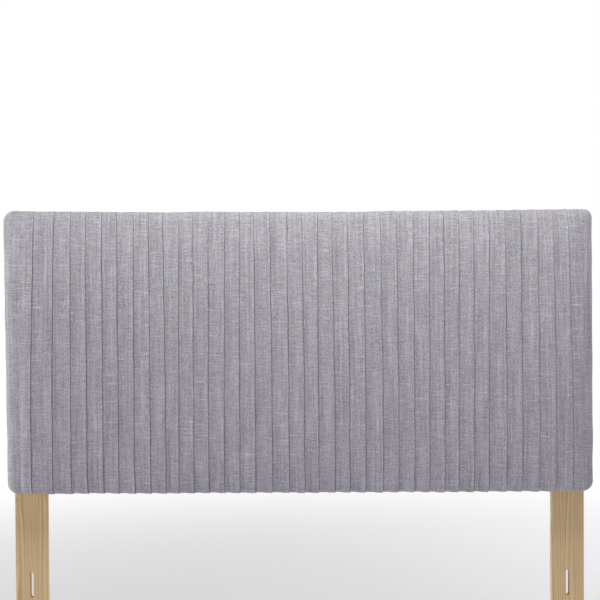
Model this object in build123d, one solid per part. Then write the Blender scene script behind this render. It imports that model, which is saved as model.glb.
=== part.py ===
from build123d import *
import os

os.makedirs("parts", exist_ok=True)

# Upholstered headboard with vertical knife pleats, on two bolt-on legs. Sizes are in millimetres.
# X runs to the viewer's right, the pleated face looks along -Y, and Z is up.
# The origin is on the floor, under the middle of the whole headboard.

# Overall size
width = 1575
height = 1295
panel_height = 760

# Thickness of each layer, from the wall to the room
leg_thickness = 19
dust_cover_thickness = 0.8
fabric_thickness = 1.5
frame_thickness = 38
board_thickness = 6
foam_thickness = 26
wadding_thickness = 6
layer_gap = 0.3
pleat_height = 2.2

# Rounding of the upholstered panel
corner_radius = 28
front_edge_radius = 24
back_edge_bevel = 4
rounding_share = 0.9
flange_width = 40
wadding_stop = 4

# Knife pleats: each strip laps over the next one on its right
pleat_count = 35
left_margin = 70
right_margin = 54
first_strip = 56
second_strip = 49
border_ramp = 26

# Wooden frame
rail_width = 64
stile_width = 89
stud_width = 64
stud_centre = 260
lap_depth = 19
corner_block_leg = 100
corner_block_tip = 14

# Legs and their slots for the bolts of a bed frame
leg_width = 89
leg_lap = 355
leg_arris = 1.5
slot_width = 9
slot_length = 70
slot_spacing = 90
slot_pattern_z = 230

# Flat-headed bolts and T-nuts that hold the legs
bolt_below_leg_top = 50
bolt_above_rail = 53
bolt_radius = 3.95
bolt_length = 54
bolt_clearance = 0.55
head_radius = 8.5
head_height = 2.6
socket_across = 4.8
socket_depth = 2
counterbore_radius = 10
counterbore_depth = 4
nut_flange_across = 20
nut_flange_thickness = 1.5
nut_recess = 1.6
nut_barrel_radius = 5
nut_barrel_length = 12
nut_clearance = 0.1
prong_count = 3
prong_width = 3
prong_thickness = 1.2
prong_length = 6
prong_setback = 0.4

# Staples of flat wire
staple_crown = 12
staple_wire = 1.2
staple_crown_height = 0.7
fabric_staple_leg = 9
fabric_staple_spacing = 200
fabric_staple_inset = 30
board_staple_leg = 16
board_staple_spacing = 300
board_staple_inset = 24
dust_staple_leg = 9
dust_staple_spacing = 130
dust_staple_inset = 21

# Dust cover over the back
dust_cover_inset = 12

# How far a cut runs past the face that it opens
overrun = 2

# Places along Y, from the back of the legs to the crest of the pleats
cover_layers = layer_gap + wadding_thickness + layer_gap + fabric_thickness
depth = (leg_thickness + dust_cover_thickness + fabric_thickness + frame_thickness
         + board_thickness + foam_thickness + cover_layers + pleat_height)
back_y = depth / 2
leg_front_y = back_y - leg_thickness
flange_y = leg_front_y - dust_cover_thickness
frame_back_y = flange_y - fabric_thickness
frame_front_y = frame_back_y - frame_thickness
board_front_y = frame_front_y - board_thickness
foam_front_y = board_front_y - foam_thickness
face_y = foam_front_y - cover_layers

# The plain panel, before the pleats stand proud of it
plain_height = panel_height - 2 * pleat_height
panel_z = height - panel_height / 2
panel_top_z = panel_z + plain_height / 2
panel_bottom_z = panel_z - plain_height / 2
front_radius = min(front_edge_radius, rounding_share * corner_radius)
wadding_inset = fabric_thickness + layer_gap
pad_inset = wadding_inset + wadding_thickness
core_inset = pad_inset + layer_gap

# The wooden core
core_half_width = width / 2 - core_inset
core_top_z = panel_top_z - core_inset
core_bottom_z = panel_bottom_z + core_inset
top_rail_z = core_top_z - rail_width
bottom_rail_z = core_bottom_z + rail_width
stile_x = core_half_width - stile_width / 2
leg_height = height - panel_height + leg_lap
bolt_heights = [bottom_rail_z + bolt_above_rail, leg_height - bolt_below_leg_top]

# Fold lines of the pleats, from left to right
first_fold = left_margin - width / 2
third_fold = first_fold + first_strip + second_strip
last_fold = width / 2 - right_margin
strip_width = (last_fold - third_fold) / (pleat_count - 3)
fold_lines = [first_fold, first_fold + first_strip]
fold_lines += [third_fold + step * strip_width for step in range(pleat_count - 2)]


def block(x0, x1, y0, y1, z0, z1):
    """A box between two corners."""
    return Pos((x0 + x1) / 2, (y0 + y1) / 2, (z0 + z1) / 2) * Box(x1 - x0, y1 - y0, z1 - z0)


def upright_plane(y, z=0):
    """A plane that faces the room, with its X along X and its Y along Z."""
    return Plane((0, y, z), x_dir=(1, 0, 0), z_dir=(0, -1, 0))


def rod(x, z, radius, y0, y1):
    """A round bar along Y."""
    return extrude(upright_plane(y1, z) * Pos(x, 0) * Circle(radius), y1 - y0)


def outline(inset, y):
    """The panel's outline drawn in by an inset, on an upright plane."""
    shape = RectangleRounded(width - 2 * inset, plain_height - 2 * inset, corner_radius - inset)
    return upright_plane(y, panel_z) * shape


def slab(inset, back):
    """The plain panel drawn in by an inset, with its front edge rounded over."""
    front = face_y + inset
    body = extrude(outline(inset, back), back - front)
    return fillet(body.edges().group_by(Axis.Y)[0], front_radius - inset)


def core_layer(front, back):
    """A flat layer with the outline of the wooden core."""
    return extrude(outline(core_inset, back), back - front)


def plain_cover():
    """The cloth without its pleats: a stretched shell, open at the back inside its turned-in edge."""
    outer = slab(0, flange_y)
    outer = chamfer(outer.edges().group_by(Axis.Y)[-1], back_edge_bevel)
    inner = slab(fabric_thickness, frame_back_y)
    inner = chamfer(inner.edges().group_by(Axis.Y)[-1], back_edge_bevel - fabric_thickness)
    opening = RectangleRounded(width - 2 * flange_width, plain_height - 2 * flange_width, corner_radius)
    cut_depth = 2 * overrun + fabric_thickness
    return outer - inner - extrude(upright_plane(flange_y + overrun, panel_z) * opening, cut_depth)


def pleat_profile(x0, x1):
    """The cloth cut across its pleats: X across, Y out of the cloth, zero on its plain face."""
    points = [(x0, -fabric_thickness), (x0, 0)]
    for fold in fold_lines:
        if x0 < fold <= x1:
            points += [(fold, pleat_height), (fold, 0)]
    points.append((x1, -fabric_thickness))
    return make_face(Polyline(*points, close=True))


def pleated_run(x0, x1):
    """The pleated cloth from under the panel, up its face and over its top."""
    profile = pleat_profile(x0, x1)
    roll_y = face_y + front_radius
    roll_top_z = panel_top_z - front_radius
    roll_bottom_z = panel_bottom_z + front_radius
    edge_y = flange_y - back_edge_bevel
    face = Plane((0, face_y, roll_top_z), x_dir=(1, 0, 0), z_dir=(0, 0, -1)) * profile
    foot = Plane((0, face_y, roll_bottom_z), x_dir=(1, 0, 0), z_dir=(0, 0, -1)) * profile
    top = Plane((0, edge_y, panel_top_z), x_dir=(1, 0, 0), z_dir=(0, -1, 0)) * profile
    bottom = Plane((0, roll_y, panel_bottom_z), x_dir=(1, 0, 0), z_dir=(0, 1, 0)) * profile
    run = extrude(face, roll_top_z - roll_bottom_z)
    run += extrude(top, edge_y - roll_y)
    run += extrude(bottom, edge_y - roll_y)
    run += revolve(face, Axis((0, roll_y, roll_top_z), (-1, 0, 0)), 90)
    run += revolve(foot, Axis((0, roll_y, roll_bottom_z), (1, 0, 0)), 90)
    return run


def cover_piece(shell, x0, x1, pleat_x0, pleat_x1):
    """One panel of the cover, from x0 to x1, pleated between pleat_x0 and pleat_x1."""
    low, high = panel_bottom_z - overrun, panel_top_z + overrun
    front, back = face_y - overrun, flange_y + overrun
    edge_y = flange_y - back_edge_bevel
    piece = shell & block(x0, x1, front, back, low, high)
    if pleat_x1 > pleat_x0:
        piece -= block(pleat_x0, pleat_x1, front, edge_y, low, high)
        piece += pleated_run(pleat_x0, pleat_x1)
    return piece


def wadding_wrap():
    """Wadding over the face and round the sides, trimmed short of the frame's back."""
    outer = slab(wadding_inset, frame_back_y - wadding_stop)
    inner = slab(pad_inset, frame_back_y - wadding_stop + overrun)
    return outer - inner


def foam_pad():
    """The foam sheet, with its front edge cut round."""
    return slab(core_inset, board_front_y)


def laps(front, back):
    """The crossings of the rails and uprights, between two depths."""
    posts = [(side * stile_x, stile_width) for side in (-1, 1)]
    posts += [(side * stud_centre, stud_width) for side in (-1, 1)]
    ends = [(core_bottom_z - overrun, bottom_rail_z), (top_rail_z, core_top_z + overrun)]
    return [block(x - post / 2, x + post / 2, front, back, z0, z1) for x, post in posts for z0, z1 in ends]


def rail(z0, z1):
    """A rail across the frame, half its thickness cut away where the uprights lap over it."""
    piece = core_layer(frame_front_y, frame_back_y)
    piece &= block(-core_half_width, core_half_width, frame_front_y, frame_back_y, z0, z1)
    return piece - laps(frame_front_y + lap_depth, frame_back_y + overrun)


def upright(x, post_width):
    """A post as tall as the frame, half its thickness cut away where it laps over the rails."""
    piece = core_layer(frame_front_y, frame_back_y)
    piece &= block(x - post_width / 2, x + post_width / 2, frame_front_y, frame_back_y,
                   core_bottom_z, core_top_z)
    return piece - laps(frame_front_y - overrun, frame_front_y + lap_depth)


def hexagon(x, z, across, y0, y1):
    """A six-sided bar along Y."""
    shape = RegularPolygon(across / 2, 6, major_radius=False)
    return extrude(upright_plane(y1, z) * Pos(x, 0) * shape, y1 - y0)


def stile(side):
    """An end post, bored for the T-nuts that take the leg bolts."""
    piece = upright(side * stile_x, stile_width)
    for z in bolt_heights:
        x = side * stile_x
        piece -= rod(x, z, nut_barrel_radius + nut_clearance, frame_front_y - overrun,
                     frame_back_y + overrun)
        piece -= hexagon(x, z, nut_flange_across + 2 * nut_clearance, frame_front_y - overrun,
                         frame_front_y + nut_recess)
        piece -= prongs(x, z)
    return piece


def corner_block(side, level):
    """A triangular block glued into a corner of the frame, its two sharp tips cut off."""
    x0 = side * (stile_x - stile_width / 2)
    z0 = top_rail_z if level > 0 else bottom_rail_z
    leg, tip = corner_block_leg, corner_block_tip
    shape = [(0, 0), (leg, 0), (leg, tip), (tip, leg), (0, leg)]
    points = [(x0 - side * across, z0 - level * up) for across, up in shape]
    face = make_face(Polyline(*points, close=True))
    return extrude(upright_plane(frame_back_y) * face, frame_thickness)


def prongs(x, z):
    """The spikes of a T-nut, bent back from the flats of its flange."""
    y0 = frame_front_y + nut_recess
    rim = nut_flange_across / 2 - prong_setback
    spike = block(-prong_width / 2, prong_width / 2, y0, y0 + prong_length, rim - prong_thickness, rim)
    turns = [step * 360 / prong_count for step in range(prong_count)]
    return [Pos(x, 0, z) * Rot(0, turn, 0) * spike for turn in turns]


def t_nut(x, z):
    """A T-nut pressed into the front of a stile, its flange just under the wood's face."""
    y1 = frame_front_y + nut_recess
    y0 = y1 - nut_flange_thickness
    end = y1 + nut_barrel_length
    nut = hexagon(x, z, nut_flange_across, y0, y1) + rod(x, z, nut_barrel_radius, y0, end)
    for spike in prongs(x, z):
        nut += spike
    return nut - rod(x, z, bolt_radius + nut_clearance, y0 - overrun, end + overrun)


def leg_bolt(x, z):
    """A bolt with a flat, wide head and a hexagon socket, from the leg's counterbore to its T-nut."""
    seat = back_y - counterbore_depth
    top = seat + head_height
    head = rod(x, z, head_radius, seat, top)
    head -= hexagon(x, z, socket_across, top - socket_depth, top + overrun)
    return head + rod(x, z, bolt_radius, seat - bolt_length, seat)


def leg(side):
    """A flat board, slotted near its foot, with counterbored bolt holes near its top."""
    x = side * stile_x
    piece = block(x - leg_width / 2, x + leg_width / 2, leg_front_y, back_y, 0, leg_height)
    piece = chamfer(piece.edges().filter_by(Axis.Z), leg_arris)
    for z in bolt_heights:
        piece -= rod(x, z, bolt_radius + bolt_clearance, leg_front_y - overrun, back_y + overrun)
        piece -= rod(x, z, counterbore_radius, back_y - counterbore_depth, back_y + overrun)
    slot = SlotOverall(slot_length, slot_width, rotation=90)
    for level in (-1, 1):
        z = slot_pattern_z + level * slot_spacing / 2
        cutter = upright_plane(back_y + overrun, z) * Pos(x, 0) * slot
        piece -= extrude(cutter, leg_thickness + 2 * overrun)
    return piece


def dust_cover():
    """A thin black cloth over the back, with a small square cut out where each leg bolt passes."""
    sheet = extrude(outline(dust_cover_inset, leg_front_y), dust_cover_thickness)
    reach = bolt_radius + bolt_clearance
    for x in (-stile_x, stile_x):
        for z in bolt_heights:
            sheet -= block(x - reach, x + reach, flange_y - overrun, leg_front_y + overrun,
                           z - reach, z + reach)
    return sheet


def staple(leg_length):
    """A staple with its crown along X and its legs along -Y, the crown's outer face at zero."""
    half, wire = staple_crown / 2, staple_wire
    points = [(-half, 0), (half, 0), (half, -leg_length), (half - wire, -leg_length),
              (half - wire, -staple_crown_height), (wire - half, -staple_crown_height),
              (wire - half, -leg_length), (-half, -leg_length)]
    face = make_face(Polyline(*points, close=True))
    return extrude(face, wire / 2, both=True)


def spread(length, spacing):
    """Even places along a length, as near to the spacing as a whole number allows."""
    count = max(2, round(length / spacing))
    return [length * ((step + 0.5) / count - 0.5) for step in range(count)]


def around(inset, spacing):
    """Places and turns of staples in a ring, an inset in from the panel's outline."""
    across = width - 2 * inset
    tall = plain_height - 2 * inset
    places = [(x, panel_z + side * tall / 2, 0)
              for side in (-1, 1) for x in spread(across - 2 * corner_radius, spacing)]
    places += [(side * across / 2, panel_z + z, 90)
               for side in (-1, 1) for z in spread(tall - 2 * corner_radius, spacing)]
    return places


def under_leg(x, z):
    """Whether a place on the panel's back lies under a leg."""
    return abs(abs(x) - stile_x) < (leg_width + staple_crown) / 2 and z < leg_height + staple_crown


def fabric_staples():
    """Staples that hold the turned-in cloth to the frame, sunk flush in the cloth."""
    shape = staple(fabric_staple_leg)
    return [Pos(x, flange_y, z) * Rot(0, turn, 0) * shape
            for x, z, turn in around(fabric_staple_inset, fabric_staple_spacing)]


def dust_cover_staples():
    """Staples over the dust cover, left out where a leg covers it."""
    shape = Pos(0, staple_crown_height, 0) * staple(dust_staple_leg)
    return [Pos(x, leg_front_y, z) * Rot(0, turn, 0) * shape
            for x, z, turn in around(dust_staple_inset, dust_staple_spacing) if not under_leg(x, z)]


def face_board_staples():
    """Staples through the face board into the rails, stiles and studs, their crowns flush."""
    shape = Rot(180, 0, 0) * staple(board_staple_leg)
    places = around(board_staple_inset, board_staple_spacing)
    places += [(side * stud_centre, panel_z + z, 90)
               for side in (-1, 1) for z in spread(top_rail_z - bottom_rail_z, board_staple_spacing)]
    return [Pos(x, board_front_y, z) * Rot(0, turn, 0) * shape for x, z, turn in places]


def bolted(make):
    """One piece of hardware at every leg bolt."""
    return [make(side * stile_x, z) for side in (-1, 1) for z in bolt_heights]


def save(node, *solids):
    """Write one node: a single solid, or a group of separate ones."""
    shape = solids[0] if len(solids) == 1 else Compound(children=list(solids))
    export_step(shape, f"parts/{node}.step")


save("top_rail", rail(top_rail_z, core_top_z))
save("bottom_rail", rail(core_bottom_z, bottom_rail_z))
for name, side in (("left", -1), ("right", 1)):
    save(f"{name}_stile", stile(side))
    save(f"{name}_stud", upright(side * stud_centre, stud_width))
    save(f"{name}_leg", leg(side))
    save(f"top_{name}_corner_block", corner_block(side, 1))
    save(f"bottom_{name}_corner_block", corner_block(side, -1))

save("face_board", core_layer(board_front_y, frame_front_y))
save("face_board_staples", *face_board_staples())
save("foam_pad", foam_pad())
save("wadding_wrap", wadding_wrap())

shell = plain_cover()
half = width / 2
left_border = cover_piece(shell, -half, first_fold, first_fold - border_ramp, first_fold)
right_border = cover_piece(shell, last_fold, half, last_fold, last_fold)
save("pleated_face", cover_piece(shell, first_fold, last_fold, first_fold, last_fold))
save("side_borders", left_border, right_border)
save("fabric_staples", *fabric_staples())

save("dust_cover", dust_cover())
save("dust_cover_staples", *dust_cover_staples())
save("leg_bolts", *bolted(leg_bolt))
save("t_nuts", *bolted(t_nut))
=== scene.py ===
"""Pleated headboard: the looks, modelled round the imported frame.

The cloth is one pattern in three cuts: the pleated face and a plain strip down each side. Each cut is
laid out as a grid. Its columns stand side by side across the panel, and its rows follow one another
from the back of the bottom edge up over the face to the back of the top edge.
"""

import math

import bpy
import numpy as np
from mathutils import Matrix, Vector


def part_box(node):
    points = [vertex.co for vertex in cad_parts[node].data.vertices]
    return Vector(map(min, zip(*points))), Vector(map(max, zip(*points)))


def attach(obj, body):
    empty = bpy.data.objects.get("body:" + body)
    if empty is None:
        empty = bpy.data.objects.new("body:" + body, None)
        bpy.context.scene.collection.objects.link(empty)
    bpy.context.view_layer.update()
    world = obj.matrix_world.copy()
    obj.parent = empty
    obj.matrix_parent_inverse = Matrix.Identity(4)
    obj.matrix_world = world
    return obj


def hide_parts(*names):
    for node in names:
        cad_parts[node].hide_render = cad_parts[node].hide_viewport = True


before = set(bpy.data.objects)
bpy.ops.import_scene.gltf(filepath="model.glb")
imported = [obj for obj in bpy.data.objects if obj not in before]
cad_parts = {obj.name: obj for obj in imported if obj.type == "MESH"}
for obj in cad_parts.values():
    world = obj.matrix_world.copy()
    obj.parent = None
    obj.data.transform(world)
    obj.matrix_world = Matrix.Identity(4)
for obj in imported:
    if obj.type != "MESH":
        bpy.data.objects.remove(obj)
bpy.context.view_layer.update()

MM = 0.001
X, Y, Z = range(3)
LOW, HIGH = range(2)
MICRON_DIGITS = 6


# Sizes of the panel, from the CAD pieces where they have them
def end_of(node_name, axis, end=HIGH):
    """Where a CAD piece ends along an axis, to a thousandth of a millimetre."""
    return round(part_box(node_name)[end][axis], MICRON_DIGITS)


PLEAT_HEIGHT = 2.2 * MM
HALF_WIDTH = end_of("side_borders", X)
PANEL_TOP = end_of("pleated_face", Z) - PLEAT_HEIGHT
PANEL_BOTTOM = end_of("pleated_face", Z, LOW) + PLEAT_HEIGHT
PANEL_MIDDLE = (PANEL_TOP + PANEL_BOTTOM) / 2
HALF_HEIGHT = (PANEL_TOP - PANEL_BOTTOM) / 2
FACE_Y = end_of("pleated_face", Y, LOW) + PLEAT_HEIGHT
FLANGE_Y = end_of("pleated_face", Y)
FRONT_RADIUS = 24 * MM
BACK_RADIUS = 4 * MM
CORNER_RADIUS = 28 * MM
FLANGE_WIDTH = 40 * MM
CORNER_X = HALF_WIDTH - CORNER_RADIUS
CORNER_Z = HALF_HEIGHT - CORNER_RADIUS

FRONT_ARC = FRONT_RADIUS * math.pi / 2
BACK_ARC = BACK_RADIUS * math.pi / 2
SIDE_Y = FACE_Y + FRONT_RADIUS
SIDE_DEPTH = FLANGE_Y - BACK_RADIUS - SIDE_Y
WRAP_LENGTH = FRONT_ARC + SIDE_DEPTH + BACK_ARC + FLANGE_WIDTH - BACK_RADIUS

# How the padded panel gives. A row of waves is given as their number, the shortest and the longest.
CROWN = 8.5 * MM
CROWN_REACH = 115 * MM
CROWN_FULLNESS = 2.4
CLOTH_SLACK = 0.45 * MM
SLACK_WAVES_ACROSS = (5, 260 * MM, 520 * MM)
SLACK_WAVES_UP = (4, 150 * MM, 400 * MM)
EDGE_UNEVEN = 0.5 * MM
EDGE_WAVES = (5, 120 * MM, 420 * MM)
EDGE_SLANT = 1.7
# How far the top edge lies off a straight one: (place across the panel, height), in millimetres.
TOP_EDGE = [(-780, 3.6), (-765, 4.8), (-745, 4.7), (-720, 3.6), (-685, 2.6), (-645, 2.1), (-565, 1.1),
            (-485, 0.0), (-325, -0.4), (-160, -0.9), (0, -1.6), (80, -2.7), (160, -2.9), (240, -0.4),
            (405, -0.8), (485, 0.1), (565, -0.3), (645, 1.6), (700, 1.6), (740, 1.9)]
TOP_EDGE_FROM = 0.6 * CORNER_Z
# The sides lean by so much at half height, change by so much a metre of height, and stay in a range.
LEFT_LEAN = 0.6 * MM
LEFT_LEAN_RISE = -0.0075
LEFT_LEAN_RANGE = (-3.2 * MM, 4 * MM)
RIGHT_LEAN = 1.3 * MM
RIGHT_LEAN_RISE = -0.0048
RIGHT_LEAN_RANGE = (-0.5 * MM, 2.6 * MM)
LEAN_FROM = 715 * MM
LEAN_FULL = 775 * MM
FULLER_RIGHT_CORNER = 2.4 * MM

# The gathers at the corners, and the cloth on the back
GATHERS = 12
GATHER_TURN = 0.6
GATHER_HEIGHT = 0.7 * MM
GATHERS_FROM = 0.8 * FRONT_ARC
GATHERS_END = 8 * MM
CORNER_FLANGE_SHARE = 0.5
FOLDS_LEFT_ON_BACK = 0.38
BACK_DROP = 1.3 * MM

# The pleats
# The first fold's place, and the width in millimetres of each strip from there to the right, at a
# height a little above the middle of the face. Then the same near the top.
FIRST_FOLD = -713.1 * MM
STRIP_WIDTHS = [56, 48, 42, 43, 41, 43, 42, 40, 38, 39, 40, 43, 40, 41, 44, 45, 41,
                39, 42, 40, 43, 46, 42, 43, 41, 40, 39, 40, 40, 46, 42, 45, 44, 43]
WIDTHS_AT = 51 * MM
FIRST_FOLD_TOP = -705.1 * MM
STRIP_WIDTHS_TOP = [53, 45, 40, 43, 40, 45, 40, 38, 43, 37, 41, 45, 39, 38, 42, 45, 40,
                    42, 38, 42, 43, 45, 43, 44, 43, 38, 41, 39, 42, 42, 42, 44, 42, 40]
TOP_WIDTHS_AT = 354 * MM
STRAIGHTENS_OVER = 0.5
FOLD_SWAY = 0.5 * MM
SWAY_WAVES = (4, 90 * MM, 420 * MM)
# How high the folds stand, as a share: tight over the top edge, and fuller towards the right.
TIGHT_AT_TOP = 0.26
TIGHT_FROM = -34 * MM
LOOSE_BELOW_TOP = 120 * MM
FULLER_RIGHT = 0.26
FULLER_RIGHT_OVER = (-200 * MM, 500 * MM)
TIGHTER_TOP_LEFT = 0.3
TIGHTER_LEFT_OVER = (-100 * MM, -500 * MM)
UNEVEN_FOLDS = 0.1
FULLNESS_WAVES = (4, 110 * MM, 500 * MM)
STANDS_ABOVE = 0.5 * MM
# How deep the creases are, as a share: shallower at the top edge.
CREASE_AT_TOP = 0.62
CREASE_OPENS_FROM = 25 * MM
CREASE_OPEN = 190 * MM
# How much of its painted highlight a fold shows, low on the face and at the top edge.
PAINTED_HIGHLIGHT_LOW = 0.5
PAINTED_HIGHLIGHT_HIGH = 1.3

# Across a strip, from under the fold on its left: distance from that fold and height, in millimetres,
# and the painted light on the cloth's colour. A painted highlight makes it paler along a fold, and
# painted shade makes it darker in a crease.
STRIP_START = [(-17.7, 0.1, 0), (-8.0, 0.1, 0), (-1.9, 0.0, -0.2), (-0.5, -1.3, -0.42), (0.4, -1.45, -0.42),
               (0.88, -0.3, 0.0), (1.6, 0.14, 0.08), (3.4, 0.12, 0.06), (7.0, 0.02, 0.01)]
# One column between the folds: its share of the way across, and its height.
STRIP_MIDDLE = (0.31, 0.1 * MM)
# Then on to its own fold and back under it: distance from that fold, height and painted light.
STRIP_END = [(-24.5, 0.3, 0), (-21.5, 0.6, 0), (-19.0, 1.05, 0), (-16.0, 1.4, 0), (-12.0, 1.5, 0),
             (-8.0, 1.55, 0.01), (-4.5, 1.72, 0.03), (-2.3, 1.98, 0.07), (-1.0, 2.05, 0.07),
             (-0.35, 1.85, 0.0), (0.0, 1.35, -0.08), (-0.15, 0.9, -0.22), (-0.8, 0.65, -0.34),
             (-7.0, 0.65, 0), (-17.2, 0.7, 0), (-18.0, 0.42, 0)]
LEFT_MARGIN_SHARES = (0.12, 0.26, 0.42)
RIGHT_MARGIN_SHARES = (0.3, 0.55, 0.8)
FACE_STEPS = 56
# Steps round the front edge, along the side, round the back edge and on to the cloth's own edge
ROW_WRAP_STEPS = (10, 8, 3, 3)
BORDER_WRAP_STEPS = (11, 9, 3, 4)

# Random draws, the same each run
chance = np.random.default_rng(41)


def smooth(edge_low, edge_high, value):
    """0 below the low edge, 1 above the high one, and a soft step between them."""
    share = np.clip((value - edge_low) / (edge_high - edge_low), 0, 1)
    return share * share * (3 - 2 * share)


def waves(count, shortest, longest):
    """A soft random wave along one length, as a function; its size is about 1."""
    lengths = chance.uniform(shortest, longest, count)
    phases = chance.uniform(0, 2 * math.pi, count)

    def wave(at):
        return sum(np.sin(2 * math.pi * at / n + p) for n, p in zip(lengths, phases)) / math.sqrt(count)
    return wave


# The wrapped edge
def wrap(reach):
    """The edge's profile at an arc length past the start of its rounding.

    It gives how far out that is, how deep, the angle it has turned, and how far in on the back.
    """
    front_turn = np.clip(reach / FRONT_RADIUS, 0, math.pi / 2)
    side = np.clip(reach - FRONT_ARC, 0, SIDE_DEPTH)
    back_turn = np.clip((reach - FRONT_ARC - SIDE_DEPTH) / BACK_RADIUS, 0, math.pi / 2)
    flange = np.maximum(reach - FRONT_ARC - SIDE_DEPTH - BACK_ARC, 0)
    out = (np.minimum(reach, 0) + FRONT_RADIUS * np.sin(front_turn)
           - BACK_RADIUS * (1 - np.cos(back_turn)) - flange)
    depth = FACE_Y + FRONT_RADIUS * (1 - np.cos(front_turn)) + side + BACK_RADIUS * np.sin(back_turn)
    angle = front_turn + back_turn
    return out, depth, angle, flange


slack_across = waves(*SLACK_WAVES_ACROSS)
slack_up = waves(*SLACK_WAVES_UP)
edge_wave = waves(*EDGE_WAVES)


def sink(x, z):
    """How far the padded face lies back from its crown, which is greatest near the edges."""
    near_side = np.clip((HALF_WIDTH - np.abs(x)) / CROWN_REACH, 0, 1)
    near_end = np.clip((HALF_HEIGHT - np.abs(z)) / CROWN_REACH, 0, 1)
    rise = (1 - (1 - near_side) ** CROWN_FULLNESS) * (1 - (1 - near_end) ** CROWN_FULLNESS)
    unevenness = CLOTH_SLACK * slack_across(x) * slack_up(z) * near_side * near_end
    return CROWN * (1 - rise) + unevenness


def turn_corner(across, along):
    """How far past the corner's lines a place is, and how far round the corner that takes it."""
    past_x = np.abs(across) - CORNER_X
    past_z = np.abs(along) - CORNER_Z
    in_corner = (past_x > 0) & (past_z > 0)
    far = np.maximum(past_x, past_z)
    least = np.minimum(past_x, past_z) / np.maximum(far, 1e-9)
    eighth = np.where(past_x >= past_z, least, 2 - least) * math.pi / 4
    turn = np.where(in_corner, eighth, np.where(past_z > past_x, math.pi / 2, 0))
    return past_x, past_z, in_corner, far, turn


def lean(x, z):
    """How far the sides lie off upright ones."""
    left = np.clip(LEFT_LEAN + LEFT_LEAN_RISE * z, *LEFT_LEAN_RANGE)
    right = np.clip(RIGHT_LEAN + RIGHT_LEAN_RISE * z, *RIGHT_LEAN_RANGE)
    return left * smooth(-LEAN_FROM, -LEAN_FULL, x) + right * smooth(LEAN_FROM, LEAN_FULL, x)


def lay(across, along, lift):
    """Places cloth on the padded panel: arc lengths from the panel's middle, and the height off it."""
    past_x, past_z, in_corner, far, turn = turn_corner(across, along)
    out, depth, angle, flange = wrap(far - CORNER_RADIUS + FRONT_RADIUS)
    gather = np.where(in_corner, np.sin(2 * turn), 0)
    out = out + CORNER_FLANGE_SHARE * flange * gather
    radius = CORNER_RADIUS - FRONT_RADIUS + out
    x = np.where(past_x > 0, CORNER_X + radius * np.where(in_corner, np.cos(turn), 1), np.abs(across))
    z = np.where(past_z > 0, CORNER_Z + radius * np.where(in_corner, np.sin(turn), 1), np.abs(along))
    x = np.where((past_x <= 0) | (~in_corner & (past_z > past_x)), np.abs(across), x)
    z = np.where((past_z <= 0) | (~in_corner & (past_x > past_z)), np.abs(along), z)
    x = x * np.sign(across)
    z = z * np.sign(along)
    # The top right corner is squarer than the others, and the top edge isn't quite straight.
    fuller = FULLER_RIGHT_CORNER * math.sqrt(0.5) * gather ** 2 * ((across > 0) & (along > 0))
    x = x + fuller
    edge_x, edge_rise = np.array(TOP_EDGE).T * MM
    z = z + fuller + np.interp(x, edge_x, edge_rise) * smooth(TOP_EDGE_FROM, CORNER_Z, z)
    x = x + lean(x, z)

    # The gathers that take up the cloth at a corner are deeper towards the back.
    deep = smooth(GATHERS_FROM, FRONT_ARC + SIDE_DEPTH, far) * (1 - smooth(0, GATHERS_END, flange))
    lift = lift + gather * deep * GATHER_HEIGHT * np.sin(GATHERS * turn + GATHER_TURN)

    # On the back the folds are pressed flatter, and the creases closed.
    back = np.clip(angle / (math.pi / 2) - 1, 0, 1)
    lift = lift * (1 - back * np.where(lift < 0, 1, 1 - FOLDS_LEFT_ON_BACK)) - BACK_DROP * back
    # The edge is a little uneven where the padding gives.
    lift = lift + EDGE_UNEVEN * edge_wave(x + EDGE_SLANT * z) * np.sin(angle)

    padding = np.clip((SIDE_Y - depth) / FRONT_RADIUS, 0, 1)
    depth = depth + sink(x, z) * padding
    outward = np.sin(angle)
    x = x + lift * outward * np.cos(turn) * np.sign(across)
    z = z + lift * outward * np.sin(turn) * np.sign(along)
    y = depth - lift * np.cos(angle)
    return np.stack([x, y, z + PANEL_MIDDLE], axis=-1)


# Rows and fold lines
def runs(*parts):
    """Places along a length, from runs of (start, end, number of steps)."""
    places = [np.linspace(a, b, n + 1)[:-1] for a, b, n in parts]
    return np.append(np.concatenate(places), parts[-1][1])


def wrap_places(arc_steps, side_steps, back_steps, flange_steps):
    """Arc lengths from the start of the rounding round to the edge of the cloth on the back."""
    side_end = FRONT_ARC + SIDE_DEPTH
    back_end = side_end + BACK_ARC
    return runs((0, FRONT_ARC, arc_steps), (FRONT_ARC, side_end, side_steps),
                (side_end, back_end, back_steps), (back_end, WRAP_LENGTH, flange_steps))


def edge_to_edge(end, steps, over):
    """Places right across: even steps between the two ends, and the same places past each end."""
    return np.concatenate([-(end + over[::-1]), np.linspace(-end, end, steps + 1), end + over])


rows = edge_to_edge(HALF_HEIGHT - FRONT_RADIUS, FACE_STEPS, wrap_places(*ROW_WRAP_STEPS)[1:])
row_z = np.clip(rows, -HALF_HEIGHT, HALF_HEIGHT)


def fold_lines():
    """Each fold's place across the panel, one value a row: they splay a little, and sway."""
    places = FIRST_FOLD + np.concatenate([[0], np.cumsum(STRIP_WIDTHS)]) * MM
    places_top = FIRST_FOLD_TOP + np.concatenate([[0], np.cumsum(STRIP_WIDTHS_TOP)]) * MM
    height = (row_z - WIDTHS_AT) / (TOP_WIDTHS_AT - WIDTHS_AT)
    # Below the middle the folds straighten.
    height = np.where(height > 0, height, STRAIGHTENS_OVER * np.tanh(height / STRAIGHTENS_OVER))
    found = []
    for place, place_top in zip(places, places_top):
        sway = waves(*SWAY_WAVES)
        found.append(place + (place_top - place) * height + FOLD_SWAY * sway(row_z))
    return np.array(found)


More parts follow.
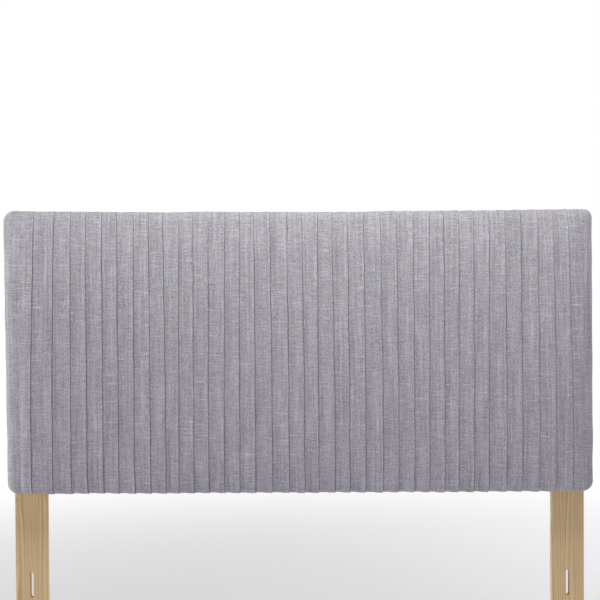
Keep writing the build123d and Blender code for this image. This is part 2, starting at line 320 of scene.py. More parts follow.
folds = fold_lines()
fold_fullness = [waves(*FULLNESS_WAVES) for _ in folds]
left_line = np.full(len(rows), -CORNER_X)
right_line = np.full(len(rows), CORNER_X)
lines = np.vstack([left_line, folds, right_line])
LAST = len(lines) - 1


# Columns, each (line, next line, share of the way to it, shift, lift, painted highlight and shade)
def at_line(line, profile):
    """Columns of a profile that is measured from one line."""
    return [(line, line, 0, shift * MM, lift * MM, painted_highlight_and_shade) for shift, lift, painted_highlight_and_shade in profile]


def pleated_columns():
    """Each strip comes out from under the fold on its left and goes on over the next tuck.

    There it turns round its own fold and back under it, and runs on into the next strip.
    """
    share, lift = STRIP_MIDDLE
    columns = []
    for left in range(1, LAST - 1):
        columns += at_line(left, STRIP_START)
        columns.append((left, left + 1, share, 0, lift, 0))
        columns += at_line(left + 1, STRIP_END)
    return columns


def side_places():
    """The border's columns outside the corner's line, from there out to the cloth's edge."""
    start = CORNER_RADIUS - FRONT_RADIUS
    return np.concatenate([[0], start + wrap_places(*BORDER_WRAP_STEPS)])


def left_border_columns():
    outer = [(0, 0, 0, -place, 0, 0) for place in side_places()[::-1]]
    margin = [(0, 1, share, 0, 0, 0) for share in LEFT_MARGIN_SHARES]
    return outer + margin + at_line(1, STRIP_END)


def right_border_columns():
    margin = [(LAST - 1, LAST, share, 0, 0, 0) for share in RIGHT_MARGIN_SHARES]
    outer = [(LAST, LAST, 0, place, 0, 0) for place in side_places()]
    return at_line(LAST - 1, STRIP_START) + margin + outer


# Meshes
def activate(piece):
    """Makes a piece the only selected one, and the active one."""
    bpy.ops.object.select_all(action="DESELECT")
    piece.select_set(True)
    bpy.context.view_layer.objects.active = piece


def thicken(piece, thickness):
    """Gives a sheet its thickness, on the far side from where its faces point."""
    activate(piece)
    wall = piece.modifiers.new("wall", "SOLIDIFY")
    wall.thickness = thickness
    wall.offset = -1
    bpy.ops.object.modifier_apply(modifier="wall")


def straight_threads(across, along, u, v):
    """UVs for the corners, where cloth is folded under: its threads run straight on each side of the fold."""
    past_x, past_z, in_corner, far, turn = turn_corner(across, along)
    radius = CORNER_RADIUS - FRONT_RADIUS + wrap(far - CORNER_RADIUS + FRONT_RADIUS)[0]
    on_end = np.where(in_corner, u + np.sign(across) * (radius * np.cos(turn) - past_x), u)
    on_side = np.where(in_corner, v + np.sign(along) * (radius * np.sin(turn) - past_z), v)
    return on_end, on_side, in_corner & (past_z > past_x)


def sheet_mesh(name, points, u, v, threads=None):
    """A mesh from a grid of points, with each corner's place on the flat cloth as its UV."""
    count_across, count_along = points.shape[:2]
    vertices = points.reshape(-1, 3)
    i, j = np.meshgrid(np.arange(count_across - 1), np.arange(count_along - 1), indexing="ij")
    first = (i * count_along + j).ravel()
    faces = np.stack([first, first + count_along, first + count_along + 1, first + 1], axis=1)
    mesh = bpy.data.meshes.new(name)
    mesh.from_pydata(vertices.tolist(), [], faces.tolist())
    layer = mesh.uv_layers.new(name="cloth")
    flat = np.stack(np.broadcast_arrays(u[:, None], v[None, :]), axis=-1).reshape(-1, 2)
    uv = flat[faces.ravel()].reshape(-1, 4, 2)
    if threads is not None:
        on_end, on_side, end_half = (part.ravel()[faces] for part in threads)
        ends_face = end_half.mean(axis=1, keepdims=True) > 0.5
        uv = np.stack([np.where(ends_face, on_end, uv[..., 0]),
                       np.where(ends_face, uv[..., 1], on_side)], axis=-1)
    layer.data.foreach_set("uv", uv.astype(np.float32).ravel())
    mesh.shade_smooth()
    piece = bpy.data.objects.new(name, mesh)
    bpy.context.scene.collection.objects.link(piece)
    return piece


def cloth_piece(name, columns):
    """A cut of the cloth, laid on the panel, and the width and length it was cut to."""
    middle_row = len(rows) // 2
    across = np.array([(1 - share) * lines[a] + share * lines[b] + shift
                       for a, b, share, shift, *_ in columns])
    lift = np.array([[column[4]] * len(rows) for column in columns])
    fullness = np.array([fold_fullness[min(max(column[1], 1), LAST - 1) - 1](row_z) for column in columns])
    lift = np.where(lift > STANDS_ABOVE, lift * (1 + UNEVEN_FOLDS * fullness), lift)
    below_top = HALF_HEIGHT - FRONT_RADIUS - rows
    loose = smooth(TIGHT_FROM, LOOSE_BELOW_TOP, below_top)
    open_crease = CREASE_AT_TOP + (1 - CREASE_AT_TOP) * smooth(CREASE_OPENS_FROM, CREASE_OPEN, below_top)
    # The folds stand up more towards the right, and least at the top left.
    fuller = FULLER_RIGHT * smooth(*FULLER_RIGHT_OVER, across)
    tighter = TIGHTER_TOP_LEFT * smooth(*TIGHTER_LEFT_OVER, across) * (1 - loose) * TIGHT_AT_TOP
    standing = TIGHT_AT_TOP + (1 - TIGHT_AT_TOP) * loose + fuller - tighter
    lift = lift * np.where(lift < 0, open_crease, standing)
    middle = np.stack([across[:, middle_row], lift[:, middle_row]], axis=-1)
    u = np.concatenate([[0], np.cumsum(np.linalg.norm(np.diff(middle, axis=0), axis=1))])
    v = rows - rows[0]
    along = np.broadcast_to(rows, across.shape)
    threads = straight_threads(across, along, u[:, None], v[None, :])
    piece = sheet_mesh(name, lay(across, along, lift), u, v, threads)
    # Painted light on the cloth's colour: painted shade in the creases, and a painted highlight along the
    # folds, stronger towards the top edge.
    painted_highlight_and_shade = np.array([[column[5]] for column in columns])
    painted_highlight_and_shade = np.where(painted_highlight_and_shade > 0, painted_highlight_and_shade * (PAINTED_HIGHLIGHT_HIGH + (PAINTED_HIGHLIGHT_LOW - PAINTED_HIGHLIGHT_HIGH) * loose), painted_highlight_and_shade)
    painted_fold_light_and_shade = piece.data.attributes.new("painted_fold_light_and_shade", "FLOAT", "POINT")
    painted_fold_light_and_shade.data.foreach_set("value", (1 + painted_highlight_and_shade).astype(np.float32).ravel())
    return piece, (float(u[-1]), float(rows[-1] - rows[0]))


# Helpers for the materials
def new_material(name):
    material = bpy.data.materials.new(name)
    material.use_nodes = True
    tree = material.node_tree
    shader = tree.nodes["Principled BSDF"]
    return material, tree, shader


def node(tree, kind, inputs=None, **settings):
    """A node with its settings and inputs; an input that is a socket is linked."""
    made = tree.nodes.new(kind)
    for key, value in settings.items():
        setattr(made, key, value)
    for key, value in (inputs or {}).items():
        if isinstance(value, bpy.types.NodeSocket):
            tree.links.new(value, made.inputs[key])
        else:
            made.inputs[key].default_value = value
    return made


def own_place(tree):
    """The place on the piece itself."""
    return node(tree, "ShaderNodeTexCoord").outputs["Object"]


def maths(tree, operation, *values):
    """One sum on sockets or numbers."""
    return node(tree, "ShaderNodeMath", dict(enumerate(values)), operation=operation).outputs[0]


def stretched(tree, place, scale, detail=2.0, roughness=0.5, shift=(0, 0, 0)):
    """Noise drawn out along the cloth; scale is how many times a metre in each direction."""
    spot = node(tree, "ShaderNodeMapping", {0: place, "Location": shift, "Scale": scale})
    return node(tree, "ShaderNodeTexNoise", {"Vector": spot.outputs[0], "Scale": 1.0, "Detail": detail,
                                             "Roughness": roughness}).outputs["Fac"]


def crossed_waves(tree, place, axes, pitch):
    """Even waves along two axes, crossed, as in a plain weave or in rows of dots."""
    spot = node(tree, "ShaderNodeSeparateXYZ", {0: place})
    one, two = (maths(tree, "SINE", maths(tree, "MULTIPLY", spot.outputs[axis], 2 * math.pi / pitch))
                for axis in axes)
    return maths(tree, "MULTIPLY", one, two)


def levels(tree, value, low, high, to_low=0.0, to_high=1.0):
    """Spreads a value between two levels, and holds it there."""
    return node(tree, "ShaderNodeMapRange", {"Value": value, "From Min": low, "From Max": high,
                                             "To Min": to_low, "To Max": to_high}).outputs[0]


def sums(tree, *parts):
    """Adds up (socket, weight) pairs."""
    total = None
    for socket, weight in parts:
        part = maths(tree, "MULTIPLY", socket, weight)
        total = part if total is None else maths(tree, "ADD", total, part)
    return total


def two_tone(tree, value, one, two, low=0.0, high=1.0):
    """A colour that goes from one to two as the value goes from low to high."""
    ramp = node(tree, "ShaderNodeValToRGB", {0: value})
    first, last = ramp.color_ramp.elements
    first.position = low
    last.position = high
    first.color = (*one, 1)
    last.color = (*two, 1)
    return ramp.outputs[0]


def tint(tree, share, colour, shade):
    """Multiplies a colour by a shade, by a share."""
    made = node(tree, "ShaderNodeMix", {0: share, 6: colour, 7: (*shade, 1)},
                data_type="RGBA", blend_type="MULTIPLY")
    return made.outputs[2]


def finish_surface(tree, shader, colour, height, strength, distance, roughness=None):
    """Links the colour, the bump and the roughness to the shader."""
    tree.links.new(colour, shader.inputs["Base Color"])
    if roughness is not None:
        tree.links.new(roughness, shader.inputs["Roughness"])
    bump = node(tree, "ShaderNodeBump", {"Height": height, "Strength": strength, "Distance": distance})
    tree.links.new(bump.outputs[0], shader.inputs["Normal"])


def dress(piece, material):
    """Gives a piece one material in all its slots."""
    if not piece.data.materials:
        piece.data.materials.append(material)
    for slot in piece.material_slots:
        slot.material = material


# The materials
YARN_PAIR = 1.3 * MM
YARN_DARK = (0.1715, 0.160, 0.1832)
YARN_PALE = (0.5295, 0.494, 0.570)
YARN_COOL = (0.99, 0.99, 1.035)
TONE_DARK = 1.86
TONE_PALE = 3.06
LINEN_RELIEF = 0.35 * MM
DOT_PITCH = 2.6 * MM
NONWOVEN_RELIEF = 0.25 * MM
RINGS_ACROSS = 16.0
RINGS_ALONG = 0.9
FIBRES_ACROSS = 900.0
FIBRES_ALONG = 14.0
WOOD_RELIEF = 0.2 * MM
WORN_SHADE = (0.80, 0.74, 0.66)
SCRATCH_RELIEF = 0.05 * MM
STEEL_SHADE = 0.8
PADDING_RELIEF = 0.6 * MM
PINE = ((0.78, 0.60, 0.38), (0.55, 0.36, 0.17))
LEG_PINE = ((0.76, 0.57, 0.35), (0.50, 0.32, 0.15))
VENEER = ((0.66, 0.50, 0.33), (0.50, 0.35, 0.20))


def linen():
    """Grey linen-look cloth: a plain weave of uneven yarns, with long slubs up it and short ones across."""
    material, tree, shader = new_material("linen_cloth")
    place = node(tree, "ShaderNodeUVMap", uv_map="cloth").outputs[0]
    warp = stretched(tree, place, (150, 4.5, 1), detail=2.2)
    warp_fine = stretched(tree, place, (430, 60, 1), detail=1.0, shift=(3.1, 1.7, 0))
    weft = stretched(tree, place, (28, 310, 1), detail=1.5, shift=(7.7, 2.3, 0))
    weft_fine = stretched(tree, place, (110, 560, 1), detail=1.0, shift=(1.3, 9.1, 0))
    speckle = stretched(tree, place, (240, 230, 1), detail=2.0, roughness=0.6, shift=(5.5, 5.1, 0))
    patches = stretched(tree, place, (22, 14, 1), detail=3.0, shift=(2.2, 8.4, 0))
    thick_warp = stretched(tree, place, (210, 12, 1), detail=0.0, shift=(11, 4, 0))
    thick_weft = stretched(tree, place, (17, 270, 1), detail=0.0, shift=(6, 13, 0))
    slubs_up = levels(tree, thick_warp, 0.62, 0.78)
    slubs_across = levels(tree, thick_weft, 0.66, 0.78)
    weave = crossed_waves(tree, place, (X, Y), YARN_PAIR)
    # Each yarn has its own shade, and shows where it passes over the others.
    yarn_up = stretched(tree, place, (800, 22, 1), detail=1.0, shift=(4.2, 6.6, 0))
    yarn_across = stretched(tree, place, (22, 800, 1), detail=1.0, shift=(8.8, 0.4, 0))
    yarn = node(tree, "ShaderNodeMix", {0: levels(tree, weave, -0.25, 0.25), 2: yarn_across, 3: yarn_up},
                data_type="FLOAT").outputs[0]
    tone = sums(tree, (warp, 0.85), (warp_fine, 0.55), (weft, 0.6), (weft_fine, 0.45), (speckle, 1.35),
                (slubs_up, 0.22), (slubs_across, 0.34), (weave, 0.12), (patches, 0.18), (yarn, 0.9))
    yarn_colour = two_tone(tree, levels(tree, tone, TONE_DARK, TONE_PALE), YARN_DARK, YARN_PALE)
    cool_patches = stretched(tree, place, (30, 16, 1), detail=2.0, shift=(9.3, 3.6, 0))
    cloth_colour = tint(tree, levels(tree, cool_patches, 0.35, 0.65), yarn_colour, YARN_COOL)
    # Painted shade darkens the creases, and a painted highlight makes the folds paler.
    painted_fold_light_and_shade = node(tree, "ShaderNodeAttribute", attribute_name="painted_fold_light_and_shade").outputs["Fac"]
    colour = node(tree, "ShaderNodeVectorMath", {0: cloth_colour, "Scale": painted_fold_light_and_shade},
                  operation="SCALE").outputs[0]
    height = sums(tree, (warp, 0.5), (weft, 0.4), (speckle, 0.35), (slubs_up, 0.5), (slubs_across, 0.4),
                  (weave, 0.35), (yarn, 0.6))
    finish_surface(tree, shader, colour, height, 0.6, LINEN_RELIEF)
    shader.inputs["Roughness"].default_value = 0.92
    shader.inputs["Specular IOR Level"].default_value = 0.25
    shader.inputs["Sheen Weight"].default_value = 0.2
    shader.inputs["Sheen Roughness"].default_value = 0.5
    return material


def nonwoven():
    """Black spun cloth: pressed dots in rows, and fibres lying every way."""
    material, tree, shader = new_material("black_nonwoven")
    place = own_place(tree)
    dots = crossed_waves(tree, place, (X, Z), DOT_PITCH)
    fibres = stretched(tree, place, (260, 260, 260), detail=4.0, roughness=0.75)
    clouds = stretched(tree, place, (9, 9, 9), detail=3.0)
    shade = sums(tree, (fibres, 0.5), (clouds, 0.4), (dots, 0.12))
    colour = two_tone(tree, shade, (0.010, 0.010, 0.011), (0.036, 0.036, 0.038), 0.3, 0.62)
    finish_surface(tree, shader, colour, sums(tree, (fibres, 0.6), (dots, 0.5)), 0.7, NONWOVEN_RELIEF)
    shader.inputs["Roughness"].default_value = 0.56
    shader.inputs["Sheen Weight"].default_value = 0.12
    return material


def wood(name, tones, grain, roughness, centre, worn=False):
    """Growth rings cut lengthwise, fine fibre and a little wear; grain is the axis they run along."""
    material, tree, shader = new_material(name)
    place = own_place(tree)
    ring_scale = [RINGS_ACROSS] * 3
    fibre_scale = [FIBRES_ACROSS] * 3
    axis = "XYZ".index(grain)
    ring_scale[axis] = RINGS_ALONG
    fibre_scale[axis] = FIBRES_ALONG
    ring_place = node(tree, "ShaderNodeMapping", {0: place, "Location": centre, "Scale": ring_scale})
    bend = node(tree, "ShaderNodeTexNoise", {"Vector": ring_place.outputs[0], "Scale": 1.1, "Detail": 2.0})
    bent = node(tree, "ShaderNodeVectorMath", {0: bend.outputs["Color"], 1: (0.9, 0.9, 0.9)},
                operation="MULTIPLY")
    moved = node(tree, "ShaderNodeVectorMath", {0: ring_place.outputs[0], 1: bent.outputs[0]},
                 operation="ADD")
    rings = node(tree, "ShaderNodeTexWave", {"Vector": moved.outputs[0], "Scale": 2.4, "Distortion": 3.0,
                                             "Detail": 2.0, "Detail Scale": 1.4},
                 wave_type="RINGS", rings_direction=grain, wave_profile="SAW").outputs["Fac"]
    fibre = stretched(tree, place, fibre_scale, detail=3.0, roughness=0.6)
    clouds = stretched(tree, place, (5, 5, 5), detail=2.0, shift=centre)
    shade = sums(tree, (rings, 0.62), (fibre, 0.30), (clouds, 0.25))
    colour = two_tone(tree, shade, *tones, 0.15, 0.95)
    if worn:
        rubbed = stretched(tree, place, (60, 60, 22), detail=4.0, roughness=0.7)
        colour = tint(tree, levels(tree, rubbed, 0.60, 0.72), colour, WORN_SHADE)
    gloss = levels(tree, fibre, 0.3, 0.7, roughness - 0.08, roughness + 0.1)
    finish_surface(tree, shader, colour, sums(tree, (rings, 0.25), (fibre, 0.6)), 0.35, WOOD_RELIEF, gloss)
    return material


def steel(name, colour, roughness):
    """Plated steel: drawn scratches and a slightly cloudy plating."""
    material, tree, shader = new_material(name)
    place = own_place(tree)
    scratches = stretched(tree, place, (2600, 2600, 300), detail=3.0, roughness=0.7)
    clouds = stretched(tree, place, (240, 240, 240), detail=3.0)
    shaded = [part * STEEL_SHADE for part in colour]
    plating = two_tone(tree, sums(tree, (scratches, 0.4), (clouds, 0.6)), shaded, colour, 0.3, 0.7)
    gloss = levels(tree, scratches, 0.3, 0.7, roughness - 0.08, roughness + 0.12)
    finish_surface(tree, shader, plating, scratches, 0.15, SCRATCH_RELIEF, gloss)
    shader.inputs["Metallic"].default_value = 1.0
    return material


def padding_material(name, one, two, scale):
    """Foam or wadding: an open, mottled surface."""
    material, tree, shader = new_material(name)
    cells = stretched(tree, own_place(tree), (scale, scale, scale), detail=5.0, roughness=0.75)
    finish_surface(tree, shader, two_tone(tree, cells, one, two), cells, 0.8, PADDING_RELIEF)
    shader.inputs["Roughness"].default_value = 0.95
    return material


# The cloth pieces
linen_cloth = linen()
for piece_name, columns, node_name in (("pleated_face_cloth", pleated_columns(), "pleated_face"),
                                       ("left_border_cloth", left_border_columns(), "side_borders"),
                                       ("right_border_cloth", right_border_columns(), "side_borders")):
    piece, cut = cloth_piece(piece_name, columns)
    dress(piece, linen_cloth)
    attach(piece, "root")
    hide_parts(node_name)

# The padding under the cloth
UNDER_CLOTH = 1.9 * MM
WADDING_THICKNESS = 5.6 * MM
WADDING_STOP = 4 * MM
WADDING_STEPS = (7, 6)
FOAM_DEPTH_UNDER = 8.1 * MM
FOAM_BACK_Y = end_of("foam_pad", Y)
FOAM_STEPS = (6, 2)
FOAM_CUT_ANGLE = 40
PAD_STEPS_ACROSS = 60
PAD_STEPS_UP = 32
# The board and the frame that the wadding lies round
CORE_HALF_WIDTH = end_of("face_board", X)
CORE_HALF_HEIGHT = end_of("face_board", Z) - PANEL_MIDDLE
CORE_RADIUS = 19.9 * MM
CORE_CLEARANCE = 0.2 * MM
PRESSED_FROM_Y = -23 * MM


def pad_mesh(name, depth_under, end, steps):
    """A layer of padding at some depth under the cloth, round to an end on the panel's sides."""
    arc_steps, side_steps = steps
    over = runs((0, FRONT_ARC, arc_steps), (FRONT_ARC, end, side_steps))[1:]
    across = edge_to_edge(HALF_WIDTH - FRONT_RADIUS, PAD_STEPS_ACROSS, over)
    along = edge_to_edge(HALF_HEIGHT - FRONT_RADIUS, PAD_STEPS_UP, over)
    across_all, along_all = np.meshgrid(across, along, indexing="ij")
    points = lay(across_all, along_all, np.full(across_all.shape, -depth_under))
    return sheet_mesh(name, points, across, along)


def press_off_frame(piece):
    """Presses the wadding thinner where the panel leans in, so that it lies on the frame and not in it."""
    spots = np.empty(3 * len(piece.data.vertices))
    piece.data.vertices.foreach_get("co", spots)
    x, y, z = spots.reshape(-1, 3).T
    z = z - PANEL_MIDDLE
    past_x = np.abs(x) - (CORE_HALF_WIDTH - CORE_RADIUS)
    past_z = np.abs(z) - (CORE_HALF_HEIGHT - CORE_RADIUS)
    round_corner = (past_x > 0) & (past_z > 0)
    reach = np.where(round_corner, np.hypot(past_x, past_z), np.maximum(past_x, past_z))
    wanted = CORE_RADIUS + CORE_CLEARANCE
    push = np.where((y > PRESSED_FROM_Y) & (reach < wanted), wanted - reach, 0)
    safe = np.maximum(reach, 1e-6)
    push_x = np.where(round_corner, push * past_x / safe, np.where(past_x >= past_z, push, 0))
    push_z = np.where(round_corner, push * past_z / safe, np.where(past_x >= past_z, 0, push))
    pressed = np.stack([x + push_x * np.sign(x), y, z + push_z * np.sign(z) + PANEL_MIDDLE], axis=-1)
    piece.data.vertices.foreach_set("co", pressed.ravel())
    piece.data.update()


def wadding_piece():
    """The wadding: one layer over the foam's face and round its four sides."""
    end = FRONT_ARC + SIDE_DEPTH - WADDING_STOP
    piece = pad_mesh("wadding_layer", UNDER_CLOTH, end, WADDING_STEPS)
    thicken(piece, WADDING_THICKNESS)
    press_off_frame(piece)
    return piece


def foam_piece():
    """The foam: a slab with a crowned face and rounded front edges, cut square at the back."""
    end = FRONT_ARC + FOAM_BACK_Y - SIDE_Y
    piece = pad_mesh("foam_slab", FOAM_DEPTH_UNDER, end, FOAM_STEPS)
    activate(piece)
    bpy.ops.object.mode_set(mode="EDIT")
    bpy.ops.mesh.select_mode(type="EDGE")
    bpy.ops.mesh.select_all(action="DESELECT")
    bpy.ops.mesh.select_non_manifold()
    bpy.ops.mesh.edge_face_add()
    bpy.ops.object.mode_set(mode="OBJECT")
    bpy.ops.object.shade_smooth_by_angle(angle=math.radians(FOAM_CUT_ANGLE))
    return piece


# The dust cover on the back
DUST_HALF_WIDTH = end_of("dust_cover", X)
DUST_HALF_HEIGHT = end_of("dust_cover", Z) - PANEL_MIDDLE
DUST_LIES_AT = (end_of("dust_cover", Y, LOW) + end_of("dust_cover", Y)) / 2
DUST_THICKNESS = 0.5 * MM
DUST_STEPS_ACROSS = 180
DUST_STEPS_UP = 84
HEM = 14 * MM
HEM_SHARES = (0.25, 0.45, 0.62, 0.8, 0.93, 1.0)
HEM_RISE = 0.3 * MM
HEM_EDGE_DROP = 0.35 * MM
HEM_EDGE_WIDTH = 1.5 * MM
HEM_STEP = (HEM + 2 * MM, HEM - 1 * MM)
# What it lies on: the frame's members, the corner blocks and the legs over it
MEMBER_EDGE = 34 * MM
RAIL_EDGE = end_of("top_rail", Z, LOW) - PANEL_MIDDLE
STILE_EDGE = end_of("right_stile", X, LOW)
STUD_INNER_EDGE = end_of("right_stud", X, LOW)
STUD_OUTER_EDGE = end_of("right_stud", X)
BLOCK_LEG = STILE_EDGE - end_of("top_right_corner_block", X, LOW)
BLOCK_CLEARANCE = (5 * MM, 70 * MM)
LEG_INNER_EDGE = end_of("right_leg", X, LOW)
LEG_OUTER_EDGE = end_of("right_leg", X)
LEG_TOP = end_of("right_leg", Z) - PANEL_MIDDLE
LEG_PRESS_BESIDE = 6 * MM
LEG_PRESS_ABOVE = 5 * MM
# How it sags, creases and puckers
SAG = 5 * MM
SAG_SHARE = 0.55
SAG_DRIFT = 0.3
DRIFT_WAVES = (6, 90 * MM, 340 * MM)
DRIFT_WAVES_ACROSS = (6, 120 * MM, 460 * MM)
RIPPLE = 0.35 * MM
RIPPLE_SLANT = 0.6
RIPPLE_WAVES = (5, 34 * MM, 90 * MM)
CREASE = 1.7 * MM
CREASE_WAVES = (4, 120 * MM, 260 * MM)
CREASE_BEND = 60 * MM
CREASE_BEND_WAVES = (3, 300 * MM, 700 * MM)
CREASE_SHARPNESS = 0.7
CREASE_LEVEL = 0.8
CREASE_FADES = (0.55, 0.45)
CREASE_FADE_SLANT = 0.7
# The slants of the creases, and how strong those of each slant are
CREASE_SLANTS = ((0.3, 1.0), (-0.9, 0.3))
STAPLE_INSET = 9 * MM
STAPLE_SPACING = 130 * MM
PUCKER = 1.6 * MM
PUCKER_REACH = 26 * MM
PULL = 1.2 * MM
PULL_VARIES = (0.6, 0.4)
PULL_REACH = 55 * MM


def slack_cloth(x, z):
    """How far the dust cover gives: it lies flat on the frame's members and hangs loose between them."""
    between_rails = smooth(0, MEMBER_EDGE, RAIL_EDGE - np.abs(z))
    middle_bay = smooth(0, MEMBER_EDGE, STUD_INNER_EDGE - np.abs(x))
    outer_bay = (smooth(0, MEMBER_EDGE, np.abs(x) - STUD_OUTER_EDGE)
                 * smooth(0, MEMBER_EDGE, STILE_EDGE - np.abs(x)))
    past_block = (STILE_EDGE - np.abs(x)) + (RAIL_EDGE - np.abs(z)) - BLOCK_LEG
    return between_rails * np.maximum(middle_bay, outer_bay) * smooth(*BLOCK_CLEARANCE, past_block)


def dust_cover_depth(x, z):
    """How far back each place of the dust cover lies."""
    loose = slack_cloth(x, z)
    drift = waves(*DRIFT_WAVES)
    drift_across = waves(*DRIFT_WAVES_ACROSS)
    ripples = waves(*RIPPLE_WAVES)
    creases = waves(*CREASE_WAVES)
    crease_bends = waves(*CREASE_BEND_WAVES)
    y = DUST_LIES_AT - SAG * loose * (SAG_SHARE + SAG_DRIFT * drift(x) * drift_across(z))
    y = y + RIPPLE * loose * ripples(RIPPLE_SLANT * x + z) * drift_across(x - z)
    # Soft slanting creases, sharper at their tops
    least, varies = CREASE_FADES
    for slant, share in CREASE_SLANTS:
        wave = creases(x + slant * z + CREASE_BEND * crease_bends(z))
        strength = least + varies * drift(CREASE_FADE_SLANT * x - slant * z)
        y = y - CREASE * share * loose * (np.abs(wave) ** CREASE_SHARPNESS - CREASE_LEVEL) * strength
    # Along every edge it puckers between the staples, and pulls run in from them. The legs press it flat.
    to_side = DUST_HALF_WIDTH - np.abs(x)
    to_end = DUST_HALF_HEIGHT - np.abs(z)
    to_edge = np.minimum(to_side, to_end)
    place = np.where(to_side < to_end, z, x)
    pucker = 0.5 - 0.5 * np.cos(2 * math.pi * place / STAPLE_SPACING)
    least, varies = PULL_VARIES
    loose_edge = least + varies * drift(place)
    near_edge = np.exp(-((to_edge - STAPLE_INSET) / PUCKER_REACH) ** 2)
    beside_leg = np.maximum(LEG_INNER_EDGE - np.abs(x), np.abs(x) - LEG_OUTER_EDGE)
    under_leg = (smooth(LEG_PRESS_BESIDE, 0, beside_leg)
                 * smooth(-LEG_PRESS_ABOVE, LEG_PRESS_ABOVE, LEG_TOP - z))
    pull_reach = np.exp(-np.maximum(to_edge - STAPLE_INSET, 0) / PULL_REACH)
    y = y + PUCKER * pucker * near_edge * (1 - under_leg)
    y = y + PULL * (pucker - 0.5) * pull_reach * (1 - near_edge) * loose * loose_edge
    # The turned-under edge stands a little off the frame, and its very edge rolls in.
    hem = smooth(*HEM_STEP, to_edge)
    return y + HEM_RISE * hem * (1 - under_leg) - HEM_EDGE_DROP * smooth(HEM_EDGE_WIDTH, 0, to_edge)


def dust_cover_piece():
    """The black cover and the size it was cut to, with the edge that is turned under."""
    edge = np.array(HEM_SHARES) * HEM
    across = edge_to_edge(DUST_HALF_WIDTH - HEM, DUST_STEPS_ACROSS, edge)
    along = edge_to_edge(DUST_HALF_HEIGHT - HEM, DUST_STEPS_UP, edge)
    x, z = np.meshgrid(across, along, indexing="ij")
    points = np.stack([x, dust_cover_depth(x, z), z + PANEL_MIDDLE], axis=-1)
    piece = sheet_mesh("dust_cloth", points, across, along)
    activate(piece)
    bpy.ops.object.mode_set(mode="EDIT")
    bpy.ops.mesh.select_all(action="SELECT")
    bpy.ops.mesh.flip_normals()
    bpy.ops.object.mode_set(mode="OBJECT")
    thicken(piece, DUST_THICKNESS)
    return piece, (2 * (DUST_HALF_WIDTH + HEM), 2 * (DUST_HALF_HEIGHT + HEM))


black_nonwoven = nonwoven()
dust_cloth, dust_cut = dust_cover_piece()
dress(dust_cloth, black_nonwoven)
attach(dust_cloth, "root")
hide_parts("dust_cover")

# The padding pieces, and the finishes of the CAD pieces
pine_along = wood("pine_along", PINE, "X", 0.62, centre=(1, 0.3, 0.7))
pine_up = wood("pine_up", PINE, "Z", 0.62, centre=(0.4, 0.2, 2.0))
pine_leg = wood("pine_leg", LEG_PINE, "Z", 0.5, centre=(1.9, 1.1, 0.5), worn=True)
zinc = steel("zinc_steel", (0.62, 0.63, 0.64), 0.32)
staple_wire = steel("staple_steel", (0.55, 0.56, 0.58), 0.36)
foam = padding_material("foam", (0.74, 0.66, 0.42), (0.86, 0.80, 0.60), 900)
wadding = padding_material("wadding", (0.74, 0.74, 0.73), (0.90, 0.90, 0.89), 420)
board = wood("plywood", VENEER, "X", 0.6, centre=(3, 5, 2))
for piece, node_name, finish, material in ((wadding_piece(), "wadding_wrap", "wadding", wadding),
                                           (foam_piece(), "foam_pad", "foam", foam)):
    dress(piece, material)
    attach(piece, "root")
    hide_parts(node_name)
for material, names in (
        (pine_along, ("top_rail", "bottom_rail", "top_left_corner_block", "top_right_corner_block",
                      "bottom_left_corner_block", "bottom_right_corner_block")),
        (pine_up, ("left_stile", "right_stile", "left_stud", "right_stud")),
        (board, ("face_board",)),
        (staple_wire, ("face_board_staples", "fabric_staples", "dust_cover_staples")),
        (pine_leg, ("left_leg", "right_leg")),
        (zinc, ("leg_bolts", "t_nuts"))):
    for name in names:
        dress(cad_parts[name], material)


# The studio, in metres
FLOOR_RADIUS = 30
FLOOR_SIDES = 96
FLOOR_FADE_FROM = 1.0
FLOOR_FADE_TO = 3.6
FLOOR_GLOW_LEAST = 0.3
FLOOR_PAINT = ((0.868, 0.86, 0.884), (0.898, 0.89, 0.915))
WHITE = (1, 1, 1, 1)
ROOM_COLOUR = (1.07, 1, 1.20, 1)
CAMERA_PLACE = (4.7 * MM, -3.3, 1.12)
CAMERA_PITCH = -1.139
CAMERA_ROLL = 0.288
FOCAL_PIXELS = 1220.3
PHOTO_PIXELS = 600
SENSOR_WIDTH = 36


def floor():
    """A wide pale floor that fades to white a few metres out."""
    bpy.ops.object.select_all(action="DESELECT")
    bpy.ops.mesh.primitive_circle_add(vertices=FLOOR_SIDES, radius=FLOOR_RADIUS, fill_type="NGON",
                                      location=(0, 0, 0))
    piece = bpy.context.active_object
    piece.name = "floor"
    material, tree, shader = new_material("floor_paint")
    place = own_place(tree)
    distance = node(tree, "ShaderNodeVectorMath", {0: place}, operation="LENGTH").outputs["Value"]
    fade = node(tree, "ShaderNodeMapRange", {"Value": distance, "From Min": FLOOR_FADE_FROM,
                                             "From Max": FLOOR_FADE_TO, "To Min": FLOOR_GLOW_LEAST},
                interpolation_type="SMOOTHSTEP").outputs[0]
    paint = two_tone(tree, stretched(tree, place, (3, 3, 3), detail=4.0), *FLOOR_PAINT)
    tree.links.new(paint, shader.inputs["Base Color"])
    shader.inputs["Roughness"].default_value = 0.8
    glow = node(tree, "ShaderNodeEmission", {"Color": WHITE, "Strength": 1.0})
    mix = node(tree, "ShaderNodeMixShader", {0: fade, 1: shader.outputs[0], 2: glow.outputs[0]})
    tree.links.new(mix.outputs[0], tree.nodes["Material Output"].inputs["Surface"])
    dress(piece, material)


def softbox(name, place, aim, width, height, power, colour=(1, 1, 1)):
    """A large soft area light that faces a point."""
    data = bpy.data.lights.new(name, "AREA")
    data.shape = "RECTANGLE"
    data.size = width
    data.size_y = height
    data.energy = power
    data.color = colour
    light = bpy.data.objects.new(name, data)
    light.location = place
    light.rotation_euler = (Vector(aim) - Vector(place)).to_track_quat("-Z", "Y").to_euler()
    bpy.context.scene.collection.objects.link(light)


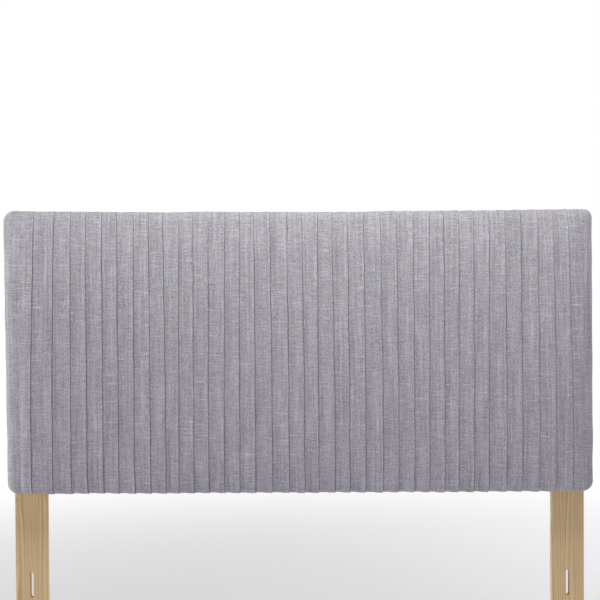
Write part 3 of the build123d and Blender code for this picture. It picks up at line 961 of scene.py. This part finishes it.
def surroundings(seen, felt):
    """A white room: one brightness for what the camera sees behind the object, and one for its light."""
    world = bpy.data.worlds.new("studio")
    bpy.context.scene.world = world
    world.use_nodes = True
    tree = world.node_tree
    tree.nodes.clear()
    path = tree.nodes.new("ShaderNodeLightPath")
    room = node(tree, "ShaderNodeBackground", {"Color": ROOM_COLOUR, "Strength": felt})
    backdrop = node(tree, "ShaderNodeBackground", {"Color": WHITE, "Strength": seen})
    mix = node(tree, "ShaderNodeMixShader", {0: path.outputs["Is Camera Ray"], 1: room.outputs[0],
                                             2: backdrop.outputs[0]})
    output = tree.nodes.new("ShaderNodeOutputWorld")
    tree.links.new(mix.outputs[0], output.inputs["Surface"])


def camera():
    """The camera of the photograph: nearly straight on, with the panel across the whole picture."""
    data = bpy.data.cameras.new("camera")
    data.sensor_width = SENSOR_WIDTH
    data.lens = FOCAL_PIXELS / PHOTO_PIXELS * data.sensor_width
    made = bpy.data.objects.new("camera", data)
    bpy.context.scene.collection.objects.link(made)
    made.location = CAMERA_PLACE
    made.rotation_mode = "XYZ"
    made.rotation_euler = (math.radians(90 + CAMERA_PITCH), math.radians(CAMERA_ROLL), 0)
    bpy.context.scene.camera = made


floor()
surroundings(seen=1.0, felt=0.158)
# Each light's place, the point it faces, its width and height, its power and its colour
softbox("overhead_light", (0.12, -0.6, 2.05), (0.12, -0.1, 1.0), 2.0, 0.6, 18.5, (0.94, 1.0, 0.84))
softbox("left_light", (-5.0, -0.5, 1.5), (0, 0, 1.0), 1.1, 2.1, 184, (0.965, 1.0, 0.87))
softbox("front_light", (0.8, -4.4, 2.6), (0.1, 0, 0.9), 3.0, 2.0, 14, (1.06, 1.0, 1.12))
softbox("right_light", (5.0, -0.9, 1.5), (0, 0, 1.0), 1.2, 2.0, 4, (0.99, 1.0, 0.97))
softbox("back_light", (2.6, 1.7, 2.6), (0, 0, 0.8), 1.3, 1.3, 60)
camera()
bpy.context.scene.view_settings.view_transform = "Standard"
bpy.context.view_layer.update()
